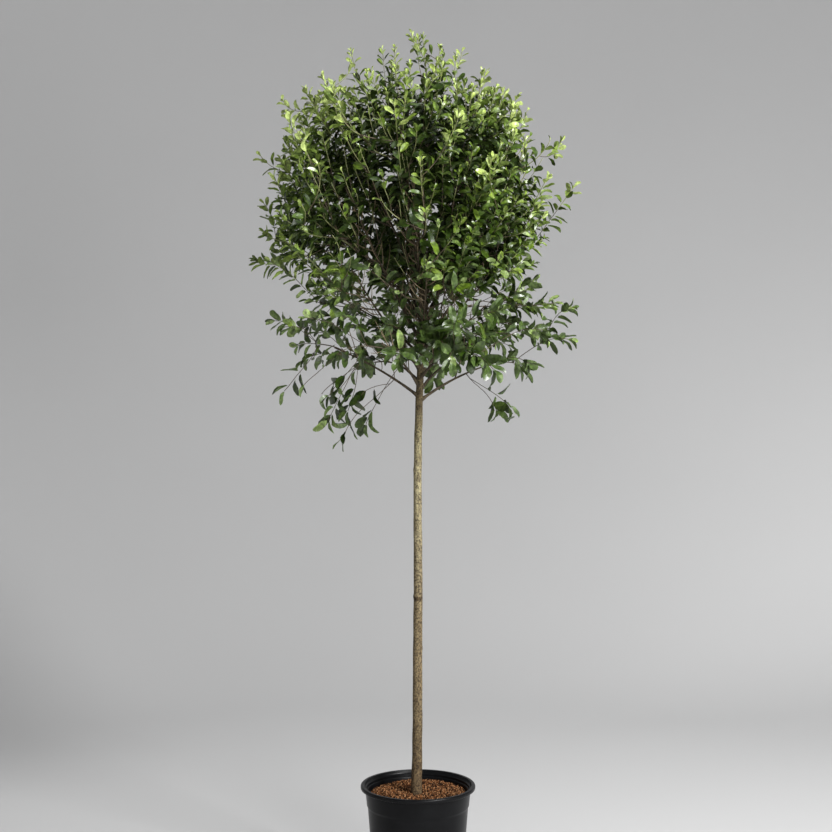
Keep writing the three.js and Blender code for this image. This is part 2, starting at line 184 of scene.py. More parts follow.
# Each pair's share of the full length and lean from the shoot, from the tip inwards
LEAF_SHARES = np.array([0.50, 0.72, 0.88, 0.96, 1.0, 1.0])
LEAF_LEANS = np.radians([14, 28, 38, 46, 52, 56])
# A leaf: its width and stalk as shares of its length, how thick its blade and stalk are, and the powers that
# round its foot and tip off, with their change on a young leaf
LEAF = Values(
    ratio=0.50, petiole=0.1, thick=0.0005, stalk=0.00045,
    foot=0.62, young_foot=0.6, tip=0.70, young_tip=0.14, sharp=math.radians(28),
)
# Shares of a blade's length at which it has two edges, a rib and an underside
LEAF_STATIONS = np.array([0.1, 0.28, 0.5, 0.72, 0.9])
BLADE_VERTICES = 4 * len(LEAF_STATIONS) + 2
LEAF_VERTICES = BLADE_VERTICES + 3
# How leaves are turned: the lean's spread and its growth where they hang and in the rosette, how their weight
# pulls them down, everywhere and low down, the turn to the light, and how far their faces stray
TURNED = Values(
    spread=0.25, hanging=0.3, rosette=0.7, sag=0.05, low_sag=0.2, to_light=(0.35, 0.85), stray=0.32,
)
# Where leaves change, as a height and a span up or down: below it they hang or are broad and look outwards,
# above it they are young, and high up they are often paler, by their age and by painted light from above
HANGING = (1.5, -0.15)
BROAD = (1.8, -0.4)
YOUNG = (1.65, 0.45)
HIGH = (1.5, 0.6)
# What makes a leaf look fresh and lit, by its age and by painted light: to be near a tip, far out (painted
# rim light) or on a shoot with a painted glow, with what height (painted light from above) and a main shoot
# (painted light on the shoots that stand out) add, and chance. The first value is the distance that counts as
# near.
FRESH_AND_PAINTED_LIGHT = Values(
    near=0.07, tip=0.06, high_tip=0.5, main_tip=0.4,
    outer=0.15, high_outer=0.15, glow=0.60, chance=0.07, high_chance=0.04,
)
# Shares of the leaves up to the end of each of the first five kinds
CLASS_ENDS = (0.23, 0.44, 0.63, 0.79, 0.91)
# Below this height, more or less, old glossy leaves take the place of the paler kinds
LOW_LEAVES = Values(height=1.60, spread=0.09)
# The kinds of leaf, with upper and lower colour and shine. The first six run from dark to pale, by the
# leaves' age and as painted shade inside the crown and painted light at its top and rim
LEAF_COLOURS = [
    ("inner", (0.009, 0.017, 0.002), (0.018, 0.029, 0.005), 0.12),
    ("deep", (0.017, 0.034, 0.003), (0.036, 0.058, 0.010), 0.30),
    ("mature", (0.036, 0.066, 0.005), (0.070, 0.108, 0.018), 0.45),
    ("green", (0.066, 0.110, 0.008), (0.115, 0.170, 0.027), 0.50),
    ("fresh_and_painted_light", (0.110, 0.160, 0.021), (0.153, 0.211, 0.047), 0.50),
    ("young", (0.228, 0.292, 0.070), (0.258, 0.320, 0.100), 0.40),
    ("low", (0.038, 0.065, 0.012), (0.070, 0.103, 0.031), 0.55),
    ("low_pale", (0.125, 0.178, 0.046), (0.175, 0.230, 0.086), 0.60),
]
LEAF_KINDS = [kind for kind, *_ in LEAF_COLOURS]

# Old knots on the stem: height, facing in radians, how far it stands out and how far round it goes
KNOTS = [(0.769, -2.5, 0.0020, 1.3), (0.634, 0.2, 0.0011, 0.7), (1.098, 2.9, 0.0013, 0.7)]
KNOT_TALL = 0.006
# The stem's mesh: rings, vertices round each, and how deep in the mix it starts
STEM_MESH = Values(rings=640, round=48, sunk=0.012)
# Long ripples and small bumps of the bark, with a bump's width as on a stem of the last radius
RIPPLES = Values(count=5, waves=(20, 90), turns=(1, 4), height=0.00010)
BUMPS = Values(count=1500, tall=(0.0010, 0.0028), wide=(0.0010, 0.0020), height=(-0.0003, 0.0005), on=0.011)
# The stem's colours at shares of the way up. From 0.70 up, under the crown, it turns dark brown with the
# crown's shade painted in
BARK_TONES = [
    (0.00, (0.090, 0.060, 0.034)), (0.12, (0.100, 0.074, 0.042)),
    (0.26, (0.130, 0.098, 0.058)), (0.371, (0.138, 0.108, 0.065)),
    (0.374, (0.050, 0.034, 0.018)), (0.379, (0.050, 0.034, 0.018)),
    (0.382, (0.140, 0.112, 0.070)), (0.48, (0.182, 0.155, 0.099)),
    (0.60, (0.200, 0.176, 0.113)), (0.70, (0.160, 0.138, 0.082)),
    # Under the crown: dark brown, with the crown's shade painted in
    (0.745, (0.074, 0.057, 0.031)), (1.00, (0.055, 0.041, 0.022)),
]
# Factors on the stem's colours for blotches and fine specks
BLOTCHES = [(0.3, (0.66, 0.62, 0.58)), (0.6, (1.06, 1.06, 1.04))]
SPECKS = [(0.36, (0.32, 0.28, 0.24)), (0.5, (0.98, 0.98, 0.94)), (0.62, (1.5, 1.5, 1.34))]
# Bough bark's colours along its pattern: dark brown, with the crown's shade painted in
BOUGH_TONES = [
    (0.32, (0.018, 0.0135, 0.0075)), (0.47, (0.046, 0.034, 0.019)),
    (0.6, (0.046, 0.034, 0.019)), (0.72, (0.100, 0.078, 0.045)),
]
# A bough's mesh: the vertices round it, its pieces for each of the limb's, and the collar at its foot
BOUGH_MESH = Values(round=12, finer=3, collar=0.5, collar_length=0.016)

POT_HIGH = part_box("pot")[1]
# The pot's height, the radii of its rim, band, wall and base, the heights of the band's foot and of the step
# below it, how thick it is, and how the base and the rim are rounded
POT = Values(
    height=POT_HIGH.z, rim=POT_HIGH.x, lip=0.010, band=0.1365, band_foot=0.229, step=0.222,
    wall_top=0.1308, base=0.113, base_round=0.004, wall=0.0026, floor=0.0032,
    rim_rounds=(0.0030, 0.0035, 0.0015), rim_flat=0.0085,
)
PLASTIC = ((0.0026, 0.0027, 0.0031), (0.0043, 0.0044, 0.0050))
# Points of the pot's section: distances from the band's radius, with heights, outside and inside, and
# distances from the rim's radius and the top on the rim's inner side
BAND_POINTS = [(-0.0036, 0.2292), (-0.0034, 0.2305), (-0.0028, 0.238), (-0.0012, 0.252)]
INNER_POINTS = [(-0.0070, 0.236), (-0.0078, 0.229)]
RIM_POINTS = [
    (-0.0108, -0.0060), (-0.0125, -0.0085), (-0.0150, -0.0095),
    (-0.0156, -0.0150), (-0.0185, -0.0162), (-0.0192, -0.0180),
]
DRAINS = Values(count=6, radius=0.008, out=0.088, depth=0.02)

# The mix's surface: radii and heights, the mound towards the back right, and a hollow
MIX_SURFACE = np.array([(0.0, 0.2555), (0.026, 0.2562), (0.082, 0.2615), (0.105, 0.2585), (0.131, 0.2495)])
MIX_MOUND = Values(height=0.0035, at=0.1, facing=math.radians(50))
MIX_HOLLOW = Values(x=-0.044, y=0.045, depth=0.006, size=0.024)
# Its body: the surface's radii, how far it lies under the granules, its roughness, and points down its side
MIX = Values(inner=0.008, wall=0.1275, rings=26, segments=96, under=0.0015, rough=0.0005)
MIX_SIDE = [(0.1267, 0.22), (0.1165, 0.06), (0.1105, 0.0036)]
# Granules: how far out they lie, the least share of the area inside one, the radius they keep within, their
# sizes and how they lie in height
GRANULES = Values(
    count=5200, out=0.126, nearest=0.012, clear=0.1272,
    size=(0.0008, 0.0026), large=1.5, large_share=0.12, lift=(-0.0014, 0.0022),
)
# Looks of the body and of the granules: dark and pale colour, the pattern's scale, roughness and shine
MIX_LOOKS = [
    ("mix_shade", (0.012, 0.006, 0.003), (0.040, 0.018, 0.008), 220, 0.95, 0.1),
    ("mix_orange", (0.128, 0.048, 0.016), (0.220, 0.088, 0.032), 300, 0.9, 0.12),
    ("mix_brown", (0.065, 0.026, 0.010), (0.130, 0.053, 0.021), 300, 0.9, 0.12),
    ("mix_pale", (0.250, 0.120, 0.050), (0.380, 0.200, 0.095), 300, 0.9, 0.12),
    ("mix_dark", (0.018, 0.009, 0.005), (0.050, 0.024, 0.012), 300, 0.9, 0.12),
]

# The studio: the floor's flat radius, the bend's radius, the wall's top, and the steps round it and up it
STAGE = Values(flat=2.2, bend=4.3, top=9.0, segments=96, degrees=2)
# Lamps: name, place, the place it looks at, width and watts
LAMPS = [
    ("key", (2.5, -2.3, 3.2), (0, 0, 1.55), 1.0, 250),
    ("top", (0.3, 0.2, 4.6), (0, 0, 1.7), 2.0, 40),
    ("front", (1.9, -3.9, 1.4), (0, 0, 1.35), 1.4, 118),
    ("backdrop", (2.2, 2.0, 2.2), (1.4, 6.5, 2.4), 1.5, 33),
]
# The photo's level view
CAMERA = Values(place=(-0.0052, -3.453, 1.238), lens=57.46, sensor=36)


def unit(vector):
    return vector / np.maximum(np.linalg.norm(vector, axis=-1, keepdims=True), 1e-12)


def look_up(rows, at, column=1):
    """A column of a table at places along its first column, blended between rows."""
    return np.interp(at, rows[:, 0], rows[:, column])


def along_line(values, known, at):
    """Points or directions along a line, at places blended between the known ones."""
    return np.stack([np.interp(at, known, values[:, k]) for k in range(3)], axis=-1)


def around(count):
    return np.arange(count) * 2 * math.pi / count


def level_ring(radius, height, count):
    """Points round the axis, at one height or each at its own."""
    angle = around(count)
    return np.stack([radius * np.cos(angle), radius * np.sin(angle), 0 * angle + height], axis=-1)


def place_object(name, data):
    piece = bpy.data.objects.new(name, data)
    bpy.context.scene.collection.objects.link(piece)
    return piece


def seeded(seed):
    """The numbers from 0 to 1 that the solids' rule draws from this seed."""
    mask = 0xFFFFFFFF
    state = seed

    def draw():
        nonlocal state
        state = (state + 0x6D2B79F5) & mask
        t = ((state ^ (state >> 15)) * (1 | state)) & mask
        t = (t + ((t ^ (t >> 7)) * (61 | t))) & mask ^ t
        return ((t ^ (t >> 14)) & mask) / 2**32

    return draw


# Crown plan


def reach_at(height, azimuth):
    """How far the leaves reach from the axis, blended between left and right."""
    right = (1 + math.cos(azimuth)) / 2
    return look_up(OUTLINE, height) * (1 - right) + look_up(OUTLINE, height, 2) * right


def lowest_at(azimuth):
    side = SKIRT.left if math.cos(azimuth) < 0 else SKIRT.right
    return SKIRT.front + (side - SKIRT.front) * abs(math.cos(azimuth)) ** SKIRT.round


def thickness(height):
    """How densely shoots stand, less towards the skirt's end."""
    below = min(max((SKIRT.top - height) / (SKIRT.top - SKIRT.left), 0), 1)
    return 1 - SKIRT.thin * below


def by_height(height, what):
    return np.interp(height, BY_HEIGHT["height"], BY_HEIGHT[what])


def openness(place):
    """The share of the foliage that the openings take away at a place."""
    full, end = WINDOW_EDGE
    missing = 0
    for middle, size, share in WINDOWS:
        distance = np.linalg.norm((place - np.array(middle)) / size)
        missing = max(missing, share * min(max((end - distance) / (end - full), 0), 1))
    return missing


def scatter_tips(tips, plan):
    """Adds tips for shoots, each as far from the others as the best of a few tries."""
    draw = seeded(plan.seed)
    lowest, highest = OUTLINE[0, 0], OUTLINE[-1, 0]
    tips = [np.array(tip) for tip in tips]
    while len(tips) < plan.count:
        inner = len(tips) % plan.inner_every == plan.inner_every - 1
        known = np.array(tips)
        best = None
        for _ in range(plan.tries):
            height = lowest + (highest - lowest) * draw()
            azimuth = 2 * math.pi * draw()
            nearer, further = plan.inner if inner else plan.outer
            out = reach_at(height, azimuth) * (nearer + (further - nearer) * draw())
            if height < lowest_at(azimuth) or (height < SKIRT.top and out < SKIRT.clear):
                continue
            place = np.array([out * math.cos(azimuth), out * math.sin(azimuth), height])
            if plan is FINE_SHOOTS and draw() > by_height(height, "stay") * (1 - openness(place)):
                continue
            score = np.linalg.norm(known - place, axis=1).min() * thickness(height)
            if best is None or score > best[0]:
                best = (score, place)
        if best is not None:
            tips.append(best[1])
    return tips


def any_way(draw):
    return np.array([draw() - 0.5 for _ in range(3)])


def group_tips(draw):
    """The tips of the shoots that stand together."""
    tips = []
    for middle, size, count in GROUPS:
        for _ in range(count):
            aside = unit(any_way(draw)) * draw() ** (1 / 3)
            tips.append(np.array(middle) + aside * size)
    return tips


def plan_masses():
    """Each foliage mass's middle, with its bough's direction, rise and radius."""
    masses = []
    for count, level, stagger, out, first_turn, rise, radius in RINGS:
        for i in range(count):
            place = (i % 2) * math.ceil(count / 2) + i // 2
            azimuth = math.radians(first_turn) + place * 2 * math.pi / count
            side = np.array([math.cos(azimuth), math.sin(azimuth), 0.0])
            height = level + stagger * (1 if i % 2 else -1)
            middle = np.array([FAN[0], 0, height]) + side * out
            masses.append(Values(middle=middle, side=side, rise=rise, radius=radius))
    return masses


# Limbs


class Limb:
    """Points along a limb's middle, with the limb and the point number that it grows from."""

    def __init__(self, points, parent=None, knot=0, main=True):
        self.points = points
        self.parent = parent
        self.knot = knot
        self.main = main
        self.load = np.ones(len(points))
        self.radii = None

    def tangents(self):
        return unit(np.gradient(self.points, axis=0))

    def from_tip(self):
        """How far each point lies from the tip, along the limb."""
        steps = np.linalg.norm(np.diff(self.points, axis=0), axis=1)
        return np.append(np.cumsum(steps[::-1])[::-1], 0)


def bezier(start, bend, end, count):
    t = np.linspace(0, 1, count)[:, None]
    return start * (1 - t) ** 2 + bend * 2 * t * (1 - t) + end * t**2


def stem_rings():
    """The height, middle and radius of each ring of vertices of the CAD's stem."""
    places = np.array([v.co for v in frame["nodes"]["stem"].data.vertices])
    digits = 4
    rows = []
    for height in np.unique(np.round(places[:, 2], digits)):
        ring = places[np.abs(places[:, 2] - height) < 10**-digits]
        middle = (ring.min(0) + ring.max(0)) / 2
        rows.append((height, middle[0], middle[1], np.linalg.norm(ring - middle, axis=1).max()))
    return np.array(rows)


STEM_RINGS = stem_rings()


def stem_at(height):
    """The middle of the stem at a height, or at several."""
    x, y = look_up(STEM_RINGS, height, 1), look_up(STEM_RINGS, height, 2)
    return np.stack([x, y, np.asarray(height, float)], axis=-1)


def lay_bough(mass, index):
    """A bough from the stem to its mass. The one that rises straight carries the stem on."""
    start = stem_at(STEM_TOP if mass.rise == 90 else FORK.first + FORK.step * index)
    rise = math.radians(mass.rise)
    leaving = mass.side * math.cos(rise) + UP * math.sin(rise)
    length = np.linalg.norm(mass.middle - start)
    elbow = start + leaving * BOUGH.bend * length
    return Limb(bezier(start, elbow, mass.middle, int(length / TWIG.piece) + 2))


def fan_at(place):
    """The way that a shoot's end points: out of the crown, and up or down by its height."""
    return unit(unit(place - FAN) + look_up(LIFT, place[2]) * UP)


def add_joints(joints, limb, first):
    """Adds the places where a shoot may leave a limb, with the limb's heading there."""
    heading = limb.tangents()
    along = limb.from_tip()
    every = max(1, round(TWIG.joint / TWIG.piece))
    for knot in range(first, len(limb.points) - 1, every):
        if along[knot] > TWIG.bare_tip:
            joints.append((limb, knot, limb.points[knot], heading[knot]))


def best_joint(joints, end, aim, plan):
    """The joint from which a shoot's end is reached best."""
    way = end - np.array([joint[2] for joint in joints])
    headings = np.array([joint[3] for joint in joints])
    length = np.linalg.norm(way, axis=1)
    angle = np.arccos(np.clip(np.sum(unit(way) * headings, axis=1), -1, 1))
    astray = np.arccos(np.clip(np.sum(unit(way) * aim, axis=1), -1, 1))
    detour = 1 + plan.by_fork * np.abs(angle - TWIG.fork) + plan.by_aim * astray
    cost = np.maximum(length, plan.least) * detour + np.where(length < TWIG.nearest, 1.0, 0.0)
    return joints[int(np.argmin(cost))]


def shoot_points(start, end, bend, aim, draw):
    """A shoot's middle line: one bend, and a slight wave that fades to the tip."""
    reach = np.linalg.norm(end - start)
    count = max(4, int(reach / TWIG.piece) + 2)
    aside = unit(np.cross(aim, any_way(draw)))
    share = np.linspace(0, 1, count)[:, None]
    wave = np.sin(share * math.pi * (1 + 2 * draw())) * (1 - share)
    return bezier(start, end - aim * bend * reach, end, count) + aside * TWIG.wave * reach * wave


def grow_twigs(joints, tips, plan, draw):
    """Joins each tip to its best joint, nearest tips first."""
    limbs = []
    root = joints[0][2]
    for tip in sorted(tips, key=lambda place: np.linalg.norm(place - root)):
        aim = fan_at(tip)
        end = tip - aim * TWIG.leaf_room
        parent, knot, start, _ = best_joint(joints, end, aim, plan)
        if np.linalg.norm(end - start) < TWIG.shortest:
            continue
        points = shoot_points(start, end, plan.bend, aim, draw)
        limb = Limb(points, parent, knot, plan is MAIN_SHOOTS)
        limbs.append(limb)
        add_joints(joints, limb, 1)
    return limbs


def carry_loads(limbs):
    """Counts the shoots that each point of a limb carries."""
    for limb in reversed(limbs):
        if limb.parent is not None:
            limb.parent.load[: limb.knot + 1] += limb.load[0]


def grow_spurs(boughs, draw):
    """Short bare twigs that leave the boughs sideways and then rise along them."""
    spurs = []
    for bough in boughs:
        headings = bough.tangents()
        for knot in range(2, len(bough.points) - 2):
            start, heading = bough.points[knot], headings[knot]
            if not SPURS.low < start[2] < SPURS.high:
                continue
            aside = unit(np.cross(heading, any_way(draw)))
            length = SPURS.length * (0.35 + 0.65 * draw())
            middle = start + (aside + 0.7 * heading) * 0.5 * length
            end = middle + (0.6 * aside + heading + 0.4 * UP) * 0.45 * length
            spur = Limb(bezier(start, middle, end, SPURS.points), bough, knot)
            spur.radii = np.linspace(SPURS.foot, SPURS.tip, SPURS.points)
            spurs.append(spur)
    return spurs


def grow_crown():
    """All boughs and twigs with their radii. The first third of a bough is bare."""
    draw = seeded(SEED + 7)
    masses = plan_masses()
    middles = np.array([mass.middle for mass in masses])
    main_tips = scatter_tips(FAR_TIPS, MAIN_SHOOTS)
    known = main_tips + SINGLE_TIPS + group_tips(seeded(SEED + 5))
    fine_tips = scatter_tips(known, FINE_SHOOTS)[len(main_tips):]

    def within(tips, index):
        return [tip for tip in tips if np.argmin(np.linalg.norm(middles - tip, axis=1)) == index]

    boughs, twigs = [], []
    for index, mass in enumerate(masses):
        bough = lay_bough(mass, index)
        joints = []
        add_joints(joints, bough, len(bough.points) // 3)
        grown = grow_twigs(joints, within(main_tips, index), MAIN_SHOOTS, draw)
        grown += grow_twigs(joints, within(fine_tips, index), FINE_SHOOTS, draw)
        carry_loads(grown)
        share = np.linspace(1, 0, len(bough.points))
        foot = BOUGH.foot * mass.radius
        bough.radii = BOUGH.tip + (foot - BOUGH.tip) * share ** BOUGH.taper
        for limb in grown:
            thickest = limb.parent.radii[limb.knot] * TWIG.thickest
            limb.radii = np.minimum(TWIG.thin * limb.load ** TWIG.pipe, thickest)
        boughs.append(bough)
        twigs.extend(grown)
    return boughs, twigs


# Meshes


def mesh_object(name, vertices, faces, looks, face_looks=None, smooth=True):
    """A mesh object, with its materials and each face's number among them."""
    mesh = bpy.data.meshes.new(name)
    mesh.from_pydata(np.asarray(vertices).tolist(), [], faces)
    for look in looks:
        mesh.materials.append(look)
    if face_looks is not None:
        mesh.polygons.foreach_set("material_index", np.asarray(face_looks, np.int32))
    mesh.polygons.foreach_set("use_smooth", np.full(len(faces), smooth))
    mesh.update()
    return place_object(name, mesh)


def dressed(piece, slot, *nodes):
    """Makes a piece ride on the plant and stand for CAD nodes. Its slot is not used."""
    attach(piece, "root")
    if nodes:
        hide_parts(*nodes)


def carried_frames(points):
    """Two directions square to the line at each point, turned as little as may be."""
    heading = unit(np.gradient(points, axis=0))
    start = np.cross(heading[0], UP if abs(heading[0][2]) < UPRIGHT else [1.0, 0.0, 0.0])
    sides = [unit(start)]
    for along in heading[1:]:
        sides.append(unit(sides[-1] - along * np.dot(sides[-1], along)))
    sides = np.array(sides)
    return sides, np.cross(heading, sides)


def tube_rings(points, radii, count):
    """Rings of vertices round a limb."""
    sides, faces = carried_frames(points)
    angle = around(count)[:, None]
    out = sides[:, None] * np.cos(angle) + faces[:, None] * np.sin(angle)
    return points[:, None] + out * np.reshape(radii, (len(points), -1, 1))


def tube_faces(rings, count, first):
    """The faces of a closed tube, from its first vertex's number."""
    faces = []
    for i in range(rings - 1):
        for j in range(count):
            a = first + i * count + j
            b = first + i * count + (j + 1) % count
            faces.append((a, b, b + count, a + count))
    faces.append(tuple(first + j for j in reversed(range(count))))
    faces.append(tuple(first + (rings - 1) * count + j for j in range(count)))
    return faces


def tubes(name, runs, count, look):
    """One mesh of closed tubes, from pairs of points and radii."""
    vertices, faces, first = [], [], 0
    for points, radii in runs:
        vertices.append(tube_rings(points, radii, count).reshape(-1, 3))
        faces.extend(tube_faces(len(points), count, first))
        first += len(points) * count
    return mesh_object(name, np.concatenate(vertices), faces, [look])


# Leaves


def leaf_blades(leaves, rng):
    """Vertices of thin blades along X, face up: the foot, four at each station, and the tip."""
    count = len(leaves.length)
    length = leaves.length[:, None]
    young = leaves.young[:, None]
    t = np.concatenate([[0.0], LEAF_STATIONS, [1.0]])[None]
    rise = LEAF.foot + LEAF.young_foot * young
    fall = LEAF.tip - LEAF.young_tip * young
    shape = np.maximum(t, 1e-6) ** rise * np.maximum(1 - t, 1e-6) ** fall
    peak = rise / (rise + fall)
    shape = shape / (peak**rise * (1 - peak) ** fall)
    half = 0.5 * length * leaves.ratio[:, None] * shape
    curl = leaves.curl[:, None] * t + 1e-6
    middle_x = length * t * np.sinc(curl / math.pi)
    middle_z = -length * t * (1 - np.cos(curl)) / curl
    wave = 0.22 * np.sin(rng.uniform(0, 6.28, (count, 1)) + t * rng.uniform(5, 9, (count, 1)))
    fold = leaves.fold[:, None] + wave
    twist = rng.uniform(-0.35, 0.35, (count, 1)) * t
    blades = np.zeros((count, BLADE_VERTICES, 3))

    def put(number, station, side, lift):
        angle = side * fold[:, station] + twist[:, station]
        out = np.abs(side) * half[:, station]
        across = side * out * np.cos(angle)
        above = side * out * np.sin(angle) + lift
        blades[:, number, 0] = middle_x[:, station] + above * np.sin(curl[:, station])
        blades[:, number, 1] = across
        blades[:, number, 2] = middle_z[:, station] + above * np.cos(curl[:, station])

    put(0, 0, 0, 0)
    put(BLADE_VERTICES - 1, len(LEAF_STATIONS) + 1, 0, 0)
    for i in range(len(LEAF_STATIONS)):
        for j, side in enumerate((-1, 0, 1)):
            put(4 * i + 1 + j, i + 1, side, 0)
        put(4 * i + 4, i + 1, 0, -LEAF.thick)
    return blades


def blade_faces():
    """The faces of one blade: first the upper ones, then the lower ones."""
    tip = BLADE_VERTICES - 1
    last = tip - 4
    upper = [(0, 2, 1), (0, 3, 2), (tip, last, last + 1), (tip, last + 1, last + 2)]
    lower = [(0, 1, 4), (0, 4, 3), (tip, last + 3, last), (tip, last + 2, last + 3)]
    for a in range(1, last, 4):
        b = a + 4
        upper += [(a, a + 1, b + 1, b), (a + 1, a + 2, b + 2, b + 1)]
        lower += [(a, b, b + 3, a + 3), (a + 2, a + 3, b + 3, b + 2)]
    return upper, lower


# What place_leaves tells of each leaf
LEAF_ROW = ("place", "heading", "turn", "pair", "distance", "build", "glow", "main")


def place_leaves(twigs, rng):
    """A row for each leaf: its place on its shoot, and what it takes from that shoot."""
    rows = []
    for limb in twigs:
        along = limb.from_tip()
        headings = limb.tangents()
        height = limb.points[-1][2]
        leafy = min(by_height(height, "leafy") * rng.uniform(*PAIRS.leafy), PAIRS.leafy_to * along[0])
        apart = by_height(height, "apart")
        turn = rng.uniform(0, 2 * math.pi)
        build = rng.uniform(-1, 1)
        # How much painted glow the shoot's high, far-out leaves take
        glow = rng.uniform(0, 1)
        if np.linalg.norm(limb.points[-1] - ROSETTE) < ROSETTE_LEAVES.within:
            leafy, apart, build = ROSETTE_LEAVES.leafy, ROSETTE_LEAVES.apart, ROSETTE_LEAVES.build
        distance = PAIRS.first
        gap = PAIRS.gap * apart
        pair = 0
        while distance < along[0] * PAIRS.to:
            inner = distance > leafy
            place = along_line(limb.points, -along, -distance)
            heading = unit(along_line(headings, -along, -distance))
            stays = (by_height(place[2], "inner") if inner else PAIRS.stays) * (1 - openness(place))
            for half in (0, 1):
                if rng.uniform() > stays:
                    continue
                facing = turn + half * math.pi
                rows.append((place, heading, facing, pair, distance, build, glow, float(limb.main)))
            turn += math.pi / 2 + rng.uniform(-PAIRS.turn, PAIRS.turn)
            gap = min(gap * PAIRS.widen, PAIRS.widest * apart)
            distance += gap * rng.uniform(*(PAIRS.inner_gap if inner else PAIRS.leafy_gap))
            pair = min(pair + 1, len(LEAF_LEANS) - 1)
    return rows


def past(height, change):
    """0 where a change starts and 1 from its span above or below that."""
    start, span = change
    return np.clip((height - start) / span, 0, 1)


def turn_leaves(leaves, rng):
    """Adds the directions that each leaf points in and its upper face looks in."""
    place, heading = leaves.place, leaves.heading
    height = place[:, 2]
    count = len(height)
    turn = leaves.turn[:, None]
    start = unit(np.cross(heading, np.where(np.abs(heading[:, 2:]) < UPRIGHT, UP, [1.0, 0.0, 0.0])))
    side = start * np.cos(turn) + np.cross(heading, start) * np.sin(turn)
    lean = LEAF_LEANS[leaves.pair] + TURNED.hanging * past(height, HANGING)
    lean = lean + TURNED.rosette * (leaves.build > 1)
    lean = (lean + rng.uniform(-TURNED.spread, TURNED.spread, count))[:, None]
    direction = heading * np.cos(lean) + side * np.sin(lean)
    low = past(height, BROAD)[:, None]
    sag = UP * (TURNED.sag + TURNED.low_sag * low)
    direction = unit(direction - sag * rng.uniform(0.2, 1, (count, 1)))
    outward = place - np.array([FAN[0], 0, 0])
    outward[:, 2] = 0
    light = unit(UP + (0.7 + 0.9 * low) * unit(outward))
    own = unit(heading - direction * np.sum(heading * direction, axis=1, keepdims=True))
    to_light = rng.uniform(*TURNED.to_light, (count, 1))
    face = own * (1 - to_light) + light * to_light + rng.normal(0, TURNED.stray, (count, 3))
    leaves.face = unit(face - direction * np.sum(face * direction, axis=1, keepdims=True))
    leaves.direction = direction


def size_leaves(leaves, rng):
    """Adds each leaf's size and shape, how young it is and how far out it stands."""
    place, pair = leaves.place, leaves.pair
    height = place[:, 2]
    count = len(height)
    low = past(height, BROAD)
    share = LEAF_SHARES[pair] + (1 - LEAF_SHARES[pair]) * 0.7 * past(height, HANGING)
    build = leaves.build * (0.5 + 0.5 * low)
    length = by_height(height, "leaf") * share * (1 + 0.2 * build)
    leaves.length = length * rng.uniform(0.85, 1.13, count)
    leaves.young = 0.8 * past(height, YOUNG) + np.where(pair < 2, 0.2, 0)
    reach = np.array([reach_at(p[2], math.atan2(p[1], p[0])) for p in place])
    leaves.depth = np.linalg.norm(place[:, :2], axis=1) / reach
    leaves.ratio = (LEAF.ratio + 0.04 * low) * (1 - 0.2 * build) * rng.uniform(0.88, 1.1, count)
    leaves.curl = rng.uniform(0.15, 0.95, count)
    leaves.fold = rng.uniform(0.18, 0.58, count)


def leaf_classes(leaves, rng):
    """The number of each leaf's kind: from dark to pale by age and painted light, and the low kinds low down.
    """
    height = leaves.place[:, 2]
    count = len(height)
    high = past(height, HIGH)
    near_tip = np.exp(-leaves.distance / FRESH_AND_PAINTED_LIGHT.near)
    # Far-out leaves rank paler, as painted rim light; those further in rank darker, as painted shade
    outer = np.clip((leaves.depth - 0.5) / 0.5, 0, 1)
    tip_share = FRESH_AND_PAINTED_LIGHT.tip + (FRESH_AND_PAINTED_LIGHT.high_tip + FRESH_AND_PAINTED_LIGHT.main_tip * leaves.main) * high
    fresh_and_painted_light = near_tip * tip_share + (FRESH_AND_PAINTED_LIGHT.outer + FRESH_AND_PAINTED_LIGHT.high_outer * high) * outer
    fresh_and_painted_light += by_height(height, "young")
    chance = rng.normal(0, FRESH_AND_PAINTED_LIGHT.chance + FRESH_AND_PAINTED_LIGHT.high_chance * high, count)
    # High, far-out leaves on some shoots rank paler still, as a painted glow
    fresh_and_painted_light += FRESH_AND_PAINTED_LIGHT.glow * high * outer * leaves.glow + chance
    kinds = np.digitize(fresh_and_painted_light, np.quantile(fresh_and_painted_light, CLASS_ENDS))
    low = height < LOW_LEAVES.height + rng.normal(0, LOW_LEAVES.spread, count)
    number = LEAF_KINDS.index
    kinds[low & (kinds > number("green"))] = number("low_pale")
    kinds[low & (kinds > number("deep")) & (kinds <= number("green"))] = number("low")
    return kinds


def leaf_vertices(leaves, rng):
    """Each leaf's vertices in the crown: its blade's, and three of its stalk's foot."""
    place, direction, face = leaves.place, leaves.direction, leaves.face
    blades = leaf_blades(leaves, rng)
    across = np.cross(face, direction)
    turn = np.stack([direction, across, face], axis=1)
    stalk = leaves.length * LEAF.petiole + 0.001
    base = place + direction * stalk[:, None]
    blades = np.einsum("nvi,nij->nvj", blades, turn) + base[:, None]
    up = LEAF.stalk * face
    right = LEAF.stalk * across
    foot = np.stack([place + up, place - 0.5 * up + right, place - 0.5 * up - right], axis=1)
    return np.concatenate([blades, foot], axis=1)


